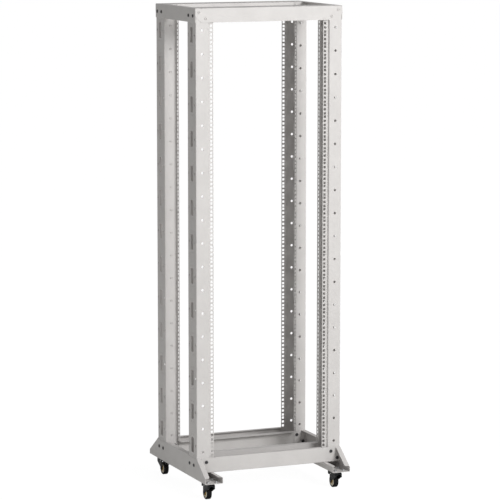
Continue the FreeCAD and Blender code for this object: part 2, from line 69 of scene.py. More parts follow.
# Steps of a bend in a sheet and of a slot's rounded corner.
BEND_STEPS, CORNER_STEPS = 5, 4
# An edge of a small part is shaded smooth below this angle, in degrees.
CREASE = 35
# A unit has three square holes, and a round hole stands in the face at every second unit.
UNIT_HOLES, FACE_HOLE_UNITS = 3, 2
FACE_HOLE_SIDES, EDGE_HOLE_SIDES, PAIR_HOLE_SIDES = 20, 16, 10
# A bent sheet's runs, counted from its section's start: all of a post's, and some of a beam's and a foot's.
RAIL, STEP, FACE, SIDE, FLANGE, LIP = range(6)
BEAM_WEB, FOOT_LIP, FOOT_WALL = 1, 0, 3
# Places of the frame's fasteners, in millimetres. Corner screws: from a beam's end and down from its top.
# Base bolts: from the rack's middle and down from the beam's top.
SCREW_PLACES = ((16, 15.7), (42.8, 39.6))
BASE_BOLT_PLACES = ((259.5, 16.5), (286.5, 44.4))
# Side beam and foot bolts: behind the front posts' face, ahead of the rear ones' face, and down from the top.
SIDE_BOLTS = ((23.6, 68), (18, 61), 29.2)
FOOT_BOLTS = ((25.8, 70.3), (16.5, 60), 30)
# Caster nuts: across and along from the swivel axis.
CASTER_NUT = (16.5, 21.5)
# Radius of the socket in a screw's or bolt's head.
SOCKET = 3.0
# The part of a noise's range over which a material's patches go from one shade to the other.
PATCH_LOW, PATCH_HIGH = 0.35, 0.65
# The studio. Distances are in metres, angles in radians.
FLOOR_REACH, FLOOR_GREY, FLOOR_GLOW = 90.0, 0.12, 0.95
WORLD_FILL, BACKDROP = 0.37, 1.05
KEY_PLACE, KEY_AIM, KEY_POWER, KEY_SIZE = (1.35, -4.9, 3.1), (0, 0, 1.0), 195, 1.8
OVERHEAD_STRENGTH, OVERHEAD_SPREAD = 0.2, 0.5
CAMERA_PLACE, CAMERA_DOWN, CAMERA_TURN = (-3.8983, -9.4019, 2.3560), 0.140659, -0.393066
CAMERA_LENS, CAMERA_SENSOR, CAMERA_SHIFT = 191.045, 36, (0.0033, -0.0012)
FRONT, REAR, LEFT, RIGHT = -1, 1, -1, 1
CORNERS = [(f"{end}_{side}", x, y) for end, y in (("front", FRONT), ("rear", REAR))
           for side, x in (("left", LEFT), ("right", RIGHT))]


def node_box(node):
    """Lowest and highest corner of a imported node, in millimetres."""
    low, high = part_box(node)
    return np.array(low) / MM, np.array(high) / MM


POST = node_box("post_front_right")
TOP_BEAM = node_box("top_front_beam")
SIDE_BEAM = node_box("top_right_beam")
BASE_BEAM = node_box("base_front_beam")
FOOT = node_box("foot_right")
PLATE = node_box("caster_plate_front_right")
FORK = node_box("caster_fork_front_right")
TYRE = node_box("wheel_tyre_front_right")
AXLE = node_box("wheel_axle_front_right")
PEDAL = node_box("brake_pedal_front_right")
CASTER_Y = (PLATE[0][1] + PLATE[1][1]) / 2
AXLE_SPOT = np.array([0, (AXLE[0][1] + AXLE[1][1]) / 2 - CASTER_Y, (AXLE[0][2] + AXLE[1][2]) / 2])
AXLE_REACH = (AXLE[1][0] - AXLE[0][0]) / 2


def length(name, description, millimetres):
    """A size that a user can change, stored in metres."""
    return FloatProperty(name=name, description=description, default=millimetres * MM, min=0.0,
                         precision=5, subtype="DISTANCE", unit="LENGTH")


def linear(code):
    """The linear colour of an sRGB hex value."""
    channels = [(code >> shift & 255) / 255 for shift in (16, 8, 0)]
    return [c / 12.92 if c <= 0.04045 else ((c + 0.055) / 1.055) ** 2.4 for c in channels]


def colour(name, description, code):
    """A colour that a user can change, given by its sRGB hex value."""
    return FloatVectorProperty(name=name, description=description, default=linear(code), size=3,
                               min=0.0, max=1.0, subtype="COLOR")


class RackSizes(bpy.types.PropertyGroup):
    rack_units: IntProperty(name="Rack units", description="Usable height in rack units", default=37, min=1)
    unit_height: length("Rack unit", "Height of one rack unit", 44.45)
    unit_edge: length("Unit edge", "Unit boundary to its nearest square hole", 6.35)
    unit_step: length("Hole step", "Spacing of the square holes inside a unit", 15.875)
    rail_spacing: length("Rail spacing", "Width between the two columns of square holes", 465.1)
    rail_hole: length("Square hole", "Side of a square rail hole", 9.5)
    rail_recess: length("Rail recess", "Depth of the rail behind the post's face", 8)
    post_sheet: length("Post sheet", "Thickness of the posts' sheet", 2)
    post_bend: length("Post bend", "Inside radius of the posts' bends", 1.5)
    beam_sheet: length("Beam sheet", "Thickness of the beams' and feet's sheet", 1.5)
    beam_bend: length("Beam bend", "Inside radius of the beams' and feet's bends", 1.2)
    gap_low: length("Lowest unit", "Base beam's top to the lowest unit", 2)
    face_hole: length("Face hole", "Radius of a round hole in the face", 5)
    face_hole_inset: length("Face hole inset", "Face hole to the outside of the side plate", 26)
    lip_hole_inset: length("Lip hole inset", "Lip hole behind the inner flange", 12)
    slot_height: length("Slot height", "Height of a side slot", 59)
    slot_width: length("Slot width", "Width of a side slot", 25)
    slot_corner: length("Slot corner", "Corner radius of a side slot", 4)
    slot_pitch: length("Slot pitch", "Spacing of the side slots", 130)
    slot_first: length("First slot", "First slot's centre above the lowest unit", 44.45)
    slot_count: IntProperty(name="Slots", description="Side slots in a post", default=13, min=1)
    pair_hole: length("Pair hole", "Radius of the small holes beyond each slot", 2.25)
    pair_reach: length("Pair reach", "Slot's centre to the small holes beyond it", 39.8)
    pair_spread: length("Pair spread", "Slot's middle line to a small hole", 10)
    edge_hole: length("Edge hole", "Radius of the holes beside each slot", 5.25)
    edge_hole_inset: length("Edge hole inset", "Hole beside a slot to the plate's edge", 12)
    corner_cut: length("Corner cut", "Corner cut of a top beam's wall", 24)
    relief_length: length("Relief length", "Length of the slit in a top beam's web", 22)
    relief_depth: length("Relief depth", "Depth of the slit in a top beam's web", 5)
    relief_overlap: length("Relief overlap", "Slit's reach below the bend of a top beam", 0.4)
    relief_inset: length("Relief inset", "Slit to the end of the top beam", 4.5)
    base_return: length("Base return", "Return flange on a base beam's outer wall", 16)
    base_ledge: length("Base ledge", "Flange of a base beam's inner wall towards the middle of the rack", 26)
    corner_relief: length("Corner relief", "Notch beside the end of a base beam's flange", 3)
    rail_clearance: length("Return clearance", "Base beam's return to the post's rail", 2)
    side_flange: length("Side flange", "Flange of a side beam and of a foot", 20)
    foot_lip_height: length("Foot lip height", "Height of a foot's inner wall", 24)
    foot_lip_width: length("Foot lip width", "Width of the lip on a foot's inner wall", 15)
    foot_end_height: length("Foot end height", "Height of a foot's outer wall at its end", 20)
    flange_setback: length("Flange setback", "Slope flange's lower end to the foot's end", 4)
    flange_corner: length("Flange corner", "Corner cut at a slope flange's lower end", 5)
    bolt_radius: length("Bolt", "Radius of a frame bolt's head", 6.4)
    screw_radius: length("Screw", "Radius of a corner screw's head", 6)
    nut_radius: length("Caster nut", "Corner radius of a caster nut", 7)
    hood_corner: length("Hood corner", "Radius of the hood's upright front corners", 7)
    hood_shoulder: length("Hood shoulder", "Radius of the hood's top edge", 3.5)
    hood_skirt: length("Hood skirt", "Height of the hood's front corner", 17)
    hood_sheet: length("Hood sheet", "Thickness of the hood's pressed sheet", 2.5)
    boss_radius: length("Axle boss", "Radius of the hood's boss at the axle", 7.5)
    hood_crown: length("Hood crown", "Fall of the hood's front arch at its crown", 5)
    race_radius: length("Swivel race", "Radius of the swivel race", 19)
    race_height: length("Race height", "Height of the swivel race", 6)
    turning_gap: length("Turning gap", "Gap between faces that turn on each other", 0.3)
    plate_corner: length("Plate corner", "Corner radius of a caster plate", 5)
    kingpin_radius: length("Kingpin", "Radius of the kingpin", 5)
    kingpin_head: length("Kingpin head", "Radius of the kingpin's head", 8)
    hub_radius: length("Hub", "Radius of the wheel's hub", 18.5)
    bush_radius: length("Bush", "Radius of the bush in the hub", 6)
    axle_radius: length("Axle", "Radius of the wheel's axle", 4)
    axle_head: length("Axle head", "Radius of the axle's heads", 5.5)
    axle_head_height: length("Axle head height", "Height of an axle head", 2)
    pedal_barrel: length("Pedal barrel", "Radius of the brake pedal's barrel", 3.5)
    pedal_setback: length("Pedal pin", "Pedal's pin ahead of the wheel's axle", 4)
    pedal_heel: length("Pedal heel", "Depth of the pedal's block below its tongue", 3)
    pedal_width: length("Pedal width", "Width of the brake pedal", 18)
    tyre_shoulder: length("Tyre shoulder", "Radius of the tyre's shoulders", 3)
    bush_flange: length("Bush flange", "Radius of the brass bush's flange", 9.5)


class RackFinishes(bpy.types.PropertyGroup):
    paint: colour("Paint", "Light grey powder coat", 0xD0CDCB)
    paint_shade: colour("Paint shade", "Thinner places of the powder coat", 0xCBC8C6)
    hood: colour("Hood", "Black paint on the casters' pressed hoods", 0x1B1E21)
    bolt: colour("Bolt", "Black oxide on the frame's bolts", 0x3E3E40)
    rubber: colour("Rubber", "Tyre", 0x111112)
    hub: colour("Hub", "Ivory nylon of the wheels' hubs", 0xE6DFCC)
    brass: colour("Brass", "Wheel bushes", 0xC9A65A)
    zinc: colour("Zinc", "Zinc plated nuts and rivets", 0xC9CBCD)
    pedal: colour("Pedal", "Moulded brake pedals", 0x151617)
    floor: colour("Floor", "Pale studio floor", 0xF2F2F0)


def in_mm(group):
    """A property group's lengths in millimetres and its counts as they are."""
    found = {}
    for name in group.bl_rna.properties.keys():
        held = getattr(group, name)
        if isinstance(held, float):
            found[name] = held / MM
        elif isinstance(held, int):
            found[name] = held
    return SimpleNamespace(**found)


# Materials. A pattern's scale is one over a real size.

def add_node(tree, kind, settings=None, links=None):
    """Adds a node with its inputs' settings and the sockets that its inputs are linked from."""
    node = tree.nodes.new(kind)
    for name, held in (settings or {}).items():
        node.inputs[name].default_value = held
    for name, source in (links or {}).items():
        tree.links.new(source, node.inputs[name])
    return node


def per(millimetres):
    """The scale of a pattern whose features are this far apart."""
    return 1 / (millimetres * MM)


def scaled(shade, share):
    """A lighter or darker shade of a colour."""
    return [channel * share for channel in shade]


def new_material(name, shades, patch, roughness, spacing, depth, values):
    """A material with one shader.

    Noise patches of a real size drift its colour between two shades and its roughness between two values. A
    finer noise of a real spacing and depth tilts its normal. All three are in millimetres. The other values
    are constants on the shader's own sockets.
    """
    material = bpy.data.materials.new(name)
    material.use_nodes = True
    tree = material.node_tree
    tree.nodes.clear()
    place = add_node(tree, "ShaderNodeTexCoord").outputs["Object"]
    patches = add_node(tree, "ShaderNodeTexNoise", {"Scale": per(patch), "Detail": 4.0, "Roughness": 0.6},
                       {"Vector": place})
    drift = add_node(tree, "ShaderNodeMapRange", {"From Min": PATCH_LOW, "From Max": PATCH_HIGH},
                     {"Value": patches.outputs["Fac"]}).outputs["Result"]
    ramp = add_node(tree, "ShaderNodeValToRGB", links={"Fac": drift})
    for element, shade in zip(ramp.color_ramp.elements, shades):
        element.color = (*shade, 1)
    dull, duller = roughness
    sheen = add_node(tree, "ShaderNodeMapRange", {"To Min": dull, "To Max": duller}, {"Value": drift})
    grain = add_node(tree, "ShaderNodeTexNoise", {"Scale": per(spacing), "Detail": 2.0}, {"Vector": place})
    bump = add_node(tree, "ShaderNodeBump", {"Strength": 1.0, "Distance": depth * MM},
                    {"Height": grain.outputs["Fac"]})
    shader = add_node(tree, "ShaderNodeBsdfPrincipled", values, {
        "Base Color": ramp.outputs["Color"],
        "Roughness": sheen.outputs["Result"],
        "Normal": bump.outputs["Normal"],
    })
    add_node(tree, "ShaderNodeOutputMaterial", links={"Surface": shader.outputs["BSDF"]})
    return material


def powder_coat(finishes):
    """Baked polyester powder on steel."""
    # Fine orange peel breaks up reflections into a soft satin sheen; the film's thickness drifts a little.
    return new_material("polyester_powder_coat", (finishes.paint, finishes.paint_shade), patch=90,
                        roughness=(0.42, 0.5), spacing=1.6, depth=0.006, values={"IOR": 1.5})


def hood_paint(finishes):
    """Electrocoated pressed steel."""
    # A thin smooth black film: blacker than the tyre, with a clear but soft highlight on each bend.
    return new_material("black_electrocoat", (finishes.hood, scaled(finishes.hood, 0.8)), patch=12,
                        roughness=(0.3, 0.42), spacing=0.9, depth=0.006, values={"Specular IOR Level": 0.3})


def black_oxide(finishes):
    """Blackened steel of the frame's bolts and the axles."""
    # The oxide is thin, so the steel's metallic glint stays under a brown-black colour.
    return new_material("black_oxide_steel", (finishes.bolt, scaled(finishes.bolt, 1.6)), patch=4,
                        roughness=(0.35, 0.5), spacing=0.4, depth=0.004, values={"Metallic": 0.35})


def zinc_plate(finishes):
    """Bright zinc plating on nuts and rivets."""
    # Barrel plating leaves a bright bluish metal with faint cloudy patches.
    return new_material("zinc_plated_steel", (finishes.zinc, scaled(finishes.zinc, 0.86)), patch=3,
                        roughness=(0.22, 0.36), spacing=0.5, depth=0.003, values={"Metallic": 1.0})


def tyre_rubber(finishes):
    """Moulded black rubber."""
    # Matt and slightly dusty, so it stays dark at every angle.
    return new_material("moulded_rubber", (finishes.rubber, scaled(finishes.rubber, 1.5)), patch=6,
                        roughness=(0.65, 0.8), spacing=0.7, depth=0.02, values={"Specular IOR Level": 0.15})


def hub_nylon(finishes):
    """Injection moulded ivory nylon."""
    # A smooth opaque plastic with a soft highlight, a little creamier where it is thicker.
    return new_material("ivory_nylon", (finishes.hub, scaled(finishes.hub, 0.93)), patch=8,
                        roughness=(0.4, 0.5), spacing=0.8, depth=0.005, values={"IOR": 1.53})


def turned_brass(finishes):
    """Lathe turned brass bush."""
    # Fine tool marks, drawn coarser than they are as an even grain, soften its highlight.
    return new_material("turned_brass", (finishes.brass, scaled(finishes.brass, 0.85)), patch=3,
                        roughness=(0.25, 0.38), spacing=0.3, depth=0.003, values={"Metallic": 1.0})


def pedal_plastic(finishes):
    """Glass filled nylon with a spark eroded texture."""
    # The texture scatters light, so the pedal looks greyer than the painted hood.
    return new_material("black_glass_filled_nylon", (finishes.pedal, scaled(finishes.pedal, 1.3)), patch=5,
                        roughness=(0.5, 0.62), spacing=0.5, depth=0.02, values={"Specular IOR Level": 0.2})


FINISH_OF_SLOT = {
    "frame_paint": powder_coat,
    "caster_black": hood_paint,
    "axle_zinc": black_oxide,
    "tyre_rubber": tyre_rubber,
    "hub_nylon": hub_nylon,
    "bush_brass": turned_brass,
    "pedal_plastic": pedal_plastic,
}
# Materials that were made, by their maker's name.
MADE = {}


def material_for(context, maker):
    """The scene's material from a maker, made once."""
    if maker.__name__ not in MADE:
        MADE[maker.__name__] = maker(context.scene.rack_finishes)
    return MADE[maker.__name__]


# Forms. A form is an array of points and a list of arrays of faces that point outwards.

def joined(forms):
    """Several forms as one."""
    points, faces, count = [], [], 0
    for these, sides in forms:
        points.append(these)
        faces += [side + count for side in sides]
        count += len(these)
    return np.vstack(points), faces


def moved(form, offset):
    """A form shifted by an offset."""
    return form[0] + np.asarray(offset, float), form[1]


def mirrored(form, x, y):
    """A form mirrored where x or y is -1, its faces turned round if that turns it inside out."""
    points = form[0] * np.array([x, y, 1])
    faces = form[1] if x * y > 0 else [side[:, ::-1] for side in form[1]]
    return points, faces


def turned_to(form, axis):
    """A form made along Z, laid along X or Y by shifting its axes round, or along -X or -Y."""
    order = {"x": [2, 0, 1], "y": [1, 2, 0]}[axis[-1]]
    points = form[0][:, order]
    if axis[0] == "-":
        spot = "xyz".index(axis[-1])
        flip = np.ones(3)
        flip[spot] = flip[(spot + 1) % 3] = -1
        points = points * flip
    return points, form[1]


def turned_over(form):
    """A form turned half round X, so that it stands downwards."""
    return form[0] * [1, -1, -1], form[1]


def signed_volume(points, triangles):
    """Six times the volume inside closed triangles: the sum of each one's triple product."""
    a, b, c = (points[triangles[:, i]] for i in range(3))
    return float(np.einsum("ij,ij->", a, np.cross(b, c)))


def revolved(profile, sides, closed=False):
    """A profile of radius and height carried round Z: an open one from axis to axis, or a closed ring."""
    profile = np.asarray(profile, float)
    angles = 2 * math.pi * np.arange(sides) / sides
    rings = profile if closed else profile[1:-1]
    count = len(rings)
    points = np.stack([
        rings[:, None, 0] * np.cos(angles),
        rings[:, None, 0] * np.sin(angles),
        np.repeat(rings[:, 1:2], sides, axis=1),
    ], axis=2).reshape(-1, 3)
    i = np.arange(count if closed else count - 1)[:, None]
    j = np.arange(sides)
    near, far = i * sides, (i + 1) % count * sides
    ahead = (j + 1) % sides
    quads = np.stack([near + j, near + ahead, far + ahead, far + j], axis=2).reshape(-1, 4)
    faces = [quads]
    if not closed:
        ends = np.array([[0, 0, profile[0, 1]], [0, 0, profile[-1, 1]]])
        first, last = len(points), len(points) + 1
        top = (count - 1) * sides
        faces.append(np.stack([np.full(sides, first), ahead, j], axis=1))
        faces.append(np.stack([np.full(sides, last), top + j, top + ahead], axis=1))
        points = np.vstack([points, ends])
    return points, faces


def prism(outline, low, high):
    """An upright prism over a counter-clockwise outline: two caps and a ring of walls."""
    outline = np.asarray(outline, float)
    count = len(outline)
    points = np.vstack([np.c_[outline, np.full(count, low)], np.c_[outline, np.full(count, high)]])
    j = np.arange(count)
    ahead = (j + 1) % count
    walls = np.stack([j, ahead, ahead + count, j + count], axis=1)
    return points, [walls, j[None, ::-1], j[None] + count]


def ring_of(x, y, radius, sides):
    """Points round a circle, counter-clockwise."""
    angles = 2 * math.pi * np.arange(sides) / sides
    return np.c_[x + radius * np.cos(angles), y + radius * np.sin(angles)]


def box_of(x, y, width, height):
    """A rectangle about a point, counter-clockwise."""
    return np.array([x, y]) + np.array([[-1, -1], [1, -1], [1, 1], [-1, 1]]) * [width / 2, height / 2]


def rounded_box(x, y, width, height, radius):
    """A rectangle about a point whose corners are quarter circles."""
    quarter = np.linspace(0, math.pi / 2, CORNER_STEPS + 1)
    inner = np.array([width / 2 - radius, height / 2 - radius])
    found = []
    for turn, side in enumerate([(1, 1), (-1, 1), (-1, -1), (1, -1)]):
        angles = quarter + turn * math.pi / 2
        found.append(inner * side + radius * np.c_[np.cos(angles), np.sin(angles)])
    return np.vstack(found) + [x, y]


def both_sides(half):
    """A wheel part's profile of radius and width from its half: the half mirrored, then the half itself."""
    half = np.asarray(half, float)
    return np.vstack([half[::-1] * [1, -1], half])


def socket_head(radius, height, bevel, depth):
    """Profile of a low round head on z = 0: a bevelled rim and a round socket in its top."""
    floor = height - depth
    return [(0, 0), (radius, 0), (radius, height - bevel), (radius - bevel, height), (SOCKET, height),
            (SOCKET, floor), (0, floor)]


def inside(places, outline):
    """Which places lie inside an outline, by counting the sides that a ray to the right crosses."""
    x, y = places[:, :1], places[:, 1:]
    here, there = outline, np.roll(outline, -1, axis=0)
    spans = (here[:, 1] > y) != (there[:, 1] > y)
    rise = there[:, 1] - here[:, 1]
    slope = (there[:, 0] - here[:, 0]) / np.where(rise == 0, 1, rise)
    crossing = here[:, 0] + (y - here[:, 1]) * slope
    return (spans & (x < crossing)).sum(axis=1) % 2 == 1


def flat_pattern(outline, holes, folds):
    """Triangles of an unfolded sheet.

    A Delaunay triangulation keeps the outline, the holes' edges and the fold lines as edges. Triangles whose
    middle lies outside the outline or in a hole are dropped.
    """
    low, high = outline.min(axis=0), outline.max(axis=0)
    loops = [outline, *holes]
    points, edges, count = [], [], 0
    for loop in loops:
        j = np.arange(len(loop))
        points.append(loop)
        edges.append(np.c_[j, (j + 1) % len(loop)] + count)
        count += len(loop)
    lines = [fold for fold in folds if low[0] < fold < high[0]]
    if lines:
        ends = np.array([[(fold, low[1] - 1), (fold, high[1] + 1)] for fold in lines]).reshape(-1, 2)
        points.append(ends)
        edges.append(np.arange(len(ends)).reshape(-1, 2) + count)
    made = geometry.delaunay_2d_cdt(np.vstack(points).tolist(), np.vstack(edges).tolist(), [], 0, WELD)
    places = np.array(made[0], float)
    triangles = np.array(made[2], int)
    middles = places[triangles].mean(axis=1)
    keep = inside(middles, outline)
    for hole in holes:
        near = ((middles > hole.min(axis=0)) & (middles < hole.max(axis=0))).all(axis=1)
        near[near] = inside(middles[near], hole)
        keep &= ~near
    triangles = triangles[keep]
    used, renumbered = np.unique(triangles, return_inverse=True)
    return places[used], renumbered.reshape(-1, 3)


class BentSheet:
    """A sheet bent along parallel lines.

    Its section is a middle line through corners, rounded at each by an arc tangent to both runs. A place on
    the unfolded sheet is a length along that line and a distance along the folds.
    """

    def __init__(self, corners, radius, thickness):
        corners = np.asarray(corners, float)
        self.thickness = thickness
        runs = np.diff(corners, axis=0)
        runs /= np.linalg.norm(runs, axis=1)[:, None]
        places, angles, lengths = [corners[0]], [math.atan2(runs[0, 1], runs[0, 0])], [0.0]
        self.starts = [(0.0, 0.0)]
        self.folds = []
        for corner, before, after in zip(corners[1:-1], runs, runs[1:]):
            turn = math.atan2(before[0] * after[1] - before[1] * after[0], before @ after)
            setback = radius * math.tan(abs(turn) / 2)
            begin = corner - before * setback
            lengths.append(lengths[-1] + float(np.linalg.norm(begin - places[-1])))
            places.append(begin)
            angles.append(angles[-1])
            side = math.copysign(1, turn)
            centre = begin + radius * side * np.array([-before[1], before[0]])
            for _ in range(BEND_STEPS):
                angle = angles[-1] + turn / BEND_STEPS
                out = np.array([math.sin(angle), -math.cos(angle)]) * radius * side
                places.append(centre + out)
                angles.append(angle)
                lengths.append(lengths[-1] + radius * abs(turn) / BEND_STEPS)
            self.folds += lengths[-BEND_STEPS - 1:]
            self.starts.append((lengths[-1], setback))
        lengths.append(lengths[-1] + float(np.linalg.norm(corners[-1] - places[-1])))
        places.append(corners[-1])
        angles.append(angles[-1])
        self.places, self.angles, self.lengths = np.array(places), np.array(angles), np.array(lengths)

    @property
    def width(self):
        """Width of the unfolded sheet."""
        return float(self.lengths[-1])

    def at(self, run, distance):
        """Length along the sheet of a place on a run, by its distance from the run's corner."""
        start, setback = self.starts[run]
        return start + distance - setback

    def lifted(self, flat, side):
        """Places on one skin and their outward directions: half the thickness off the middle line."""
        across = np.c_[[np.interp(flat[:, 0], self.lengths, self.places[:, i]) for i in (0, 1)]].T
        angle = np.interp(flat[:, 0], self.lengths, self.angles)
        normal = np.c_[-np.sin(angle), np.cos(angle)] * side
        return np.c_[across + normal * self.thickness / 2, flat[:, 1]], np.c_[normal, np.zeros(len(flat))]

    def form(self, outline, holes=()):
        """The closed sheet: two skins over the flat pattern, walls at its rims, and corner directions."""
        flat, triangles = flat_pattern(np.asarray(outline, float), list(holes), self.folds)
        count = len(flat)
        upper, up = self.lifted(flat, 1)
        lower, down = self.lifted(flat, -1)
        sides = np.vstack([triangles[:, [0, 1]], triangles[:, [1, 2]], triangles[:, [2, 0]]])
        keys = sides[:, 0] * count + sides[:, 1]
        rim = sides[~np.isin(sides[:, 1] * count + sides[:, 0], keys)]
        a, b = rim[:, 0], rim[:, 1]
        walls = np.vstack([np.c_[b, a, a + count], np.c_[b, a + count, b + count]])
        faces = np.vstack([triangles, triangles[:, ::-1] + count, walls])
        points, normals = np.vstack([upper, lower]), np.vstack([up, down])
        corners = normals[faces]
        outward = face_directions(points, walls)
        outward /= np.maximum(np.linalg.norm(outward, axis=1), SMALL)[:, None]
        corners[-len(walls):] = outward[:, None]
        return points, faces, corners


def face_directions(points, triangles):
    """Each triangle's outward direction, as long as twice its area."""
    a, b, c = (points[triangles[:, i]] for i in range(3))
    return np.cross(b - a, c - a)


def laid(sheet, axes):
    """A bent sheet's form with its section and folds laid on the named axes, facing outwards."""
    points, faces, corners = sheet
    order = ["xyz".index(axis) for axis in axes]
    placed, turned = np.empty_like(points), np.empty_like(corners)
    placed[:, order] = points
    turned[..., order] = corners
    if signed_volume(placed, faces) < 0:
        faces, turned = faces[:, ::-1], turned[:, ::-1]
    wrong = np.einsum("ij,ij->i", face_directions(placed, faces), turned[:, 0]) < 0
    return placed, faces, np.where(wrong[:, None, None], -turned, turned)


def sheet_mirrored(sheet, x, y):
    """A bent sheet's form mirrored where x or y is -1."""
    points, faces, corners = sheet
    flip = np.array([x, y, 1])
    if x * y < 0:
        faces, corners = faces[:, ::-1], corners[:, ::-1]
    return points * flip, faces, corners * flip


def sheets_joined(sheets):
    """Several bent sheets' forms as one."""
    counts = np.cumsum([0] + [len(points) for points, _, _ in sheets[:-1]])
    return (
        np.vstack([points for points, _, _ in sheets]),
        np.vstack([faces + count for (_, faces, _), count in zip(sheets, counts)]),
        np.vstack([corners for _, _, corners in sheets]),
    )


def box_sheet(low, high):
    """A flat strip as a sheet's form: a box between two corners, each face with its own direction."""
    outline = np.array([(low[0], low[1]), (high[0], low[1]), (high[0], high[1]), (low[0], high[1])])
    points, sides = prism(outline, low[2], high[2])
    quads = np.vstack(sides)
    faces = np.vstack([quads[:, [0, 1, 2]], quads[:, [0, 2, 3]]])
    outward = face_directions(points, faces)
    outward /= np.linalg.norm(outward, axis=1)[:, None]
    return points, faces, np.repeat(outward[:, None], 3, axis=1)


def add_piece(context, name, mesh, body, maker, nodes=()):
    """Puts a mesh into the scene as a piece on a body, with a slot's finish, in the place of nodes."""
    piece = bpy.data.objects.new(name, mesh)
    context.scene.collection.objects.link(piece)
    mesh.materials.append(material_for(context, maker))
    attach(piece, body)
    if nodes:
        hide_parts(*nodes)
    return piece


def add_sheet(context, name, sheet, *nodes):
    """A painted steel sheet whose corners keep the directions of its form."""
    points, faces, corners = sheet
    mesh = bpy.data.meshes.new(name)
    mesh.from_pydata((points * MM).tolist(), [], faces.tolist())
    mesh.polygons.foreach_set("use_smooth", np.ones(len(faces), bool))
    mesh.normals_split_custom_set(corners.reshape(-1, 3).tolist())
    return add_piece(context, name, mesh, "root", powder_coat, nodes)


def add_form(context, name, form, body, slot, nodes=(), maker=None):
    """A form as a piece, smooth but for its sharp edges."""
    points, faces = form
    mesh = bpy.data.meshes.new(name)
    mesh.from_pydata((points * MM).tolist(), [], [face for side in faces for face in side.tolist()])
    mesh.polygons.foreach_set("use_smooth", np.ones(len(mesh.polygons), bool))
    mesh.set_sharp_from_angle(angle=math.radians(CREASE))
    return add_piece(context, name, mesh, body, maker or FINISH_OF_SLOT[slot], nodes)


def post_step():
    """The face's inner edge, where the sheet steps back to the rail. The lip's outside is in line with it."""
    corners = np.array([v.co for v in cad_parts["post_front_right"].data.vertices]) / MM
    lip = corners[corners[:, 1] > POST[1][1] - 1]
    return float(lip[:, 0].min())


def rail_holes(size, post, unit_base):
    """The rail's and the lip's square holes, three a unit."""
    rail = post.at(RAIL, size.rail_spacing / 2 - POST[0][0])
    lip = post.at(LIP, size.lip_hole_inset + size.post_sheet / 2)
    holes = []
    for unit in range(size.rack_units):
        for step in range(UNIT_HOLES):
            z = unit_base + unit * size.unit_height + size.unit_edge + step * size.unit_step
            holes += [box_of(place, z, size.rail_hole, size.rail_hole) for place in (rail, lip)]
    return holes


def face_holes(size, post, unit_base, face_width):
    """The face's round holes, and those behind them in the inner flange."""
    away = face_width - size.face_hole_inset
    places = post.at(FACE, away), post.at(FLANGE, face_width - size.post_sheet / 2 - away)
    holes = []
    for unit in range(0, size.rack_units, FACE_HOLE_UNITS):
        z = unit_base + (unit + 0.5) * size.unit_height
        holes += [ring_of(place, z, size.face_hole, FACE_HOLE_SIDES) for place in places]
    return holes


def side_holes(size, post, unit_base, plate_depth):
    """The side plate's slots, each with a hole beside each side and two small ones beyond each end."""
    plate = post.at(SIDE, (plate_depth - size.post_sheet / 2) / 2)
    reach = plate_depth / 2 - size.edge_hole_inset
    holes = []
    for number in range(size.slot_count):
        z = unit_base + size.slot_first + number * size.slot_pitch
        holes.append(rounded_box(plate, z, size.slot_width, size.slot_height, size.slot_corner))
        for side in (-1, 1):
            holes.append(ring_of(plate + side * reach, z, size.edge_hole, EDGE_HOLE_SIDES))
            for end in (-1, 1):
                across, along = plate + side * size.pair_spread, z + end * size.pair_reach
                holes.append(ring_of(across, along, size.pair_hole, PAIR_HOLE_SIDES))
    return holes


def build_posts(context):
    """Four bent-sheet posts: recessed rail, face, side plate, inner flange and lip, with every hole."""
    size = in_mm(context.scene.rack_sizes)
    half = size.post_sheet / 2
    (rail_x, face_y, low_z), (side_x, lip_y, high_z) = POST
    rail_y = face_y + size.rail_recess + half
    flange_y = TOP_BEAM[1][1] - size.beam_sheet - half
    step_x = post_step() + half
    corners = [
        (rail_x, rail_y),
        (step_x, rail_y),
        (step_x, face_y + half),
        (side_x - half, face_y + half),
        (side_x - half, flange_y),
        (step_x, flange_y),
        (step_x, lip_y),
    ]
    post = BentSheet(corners, size.post_bend + half, size.post_sheet)
    lip_low, lip_high = BASE_BEAM[1][2], TOP_BEAM[0][2]
    flange_end = post.folds[-1]
    outline = [
        (0, low_z),
        (flange_end, low_z),
        (flange_end, lip_low),
        (post.width, lip_low),
        (post.width, lip_high),
        (flange_end, lip_high),
        (flange_end, high_z),
        (0, high_z),
    ]
    unit_base = BASE_BEAM[1][2] + size.gap_low
    holes = [
        *rail_holes(size, post, unit_base),
        *face_holes(size, post, unit_base, side_x - step_x),
        *side_holes(size, post, unit_base, flange_y + half - face_y),
    ]
    right = laid(post.form(outline, holes), "xyz")
    for at, x, y in CORNERS:
        add_sheet(context, f"post_sheet_{at}", sheet_mirrored(right, x, -y), f"post_{at}")


def whole_outline(half):
    """A flat outline that is alike on both sides of the folds' middle, from its half."""
    return half + [(across, -along) for across, along in reversed(half)]


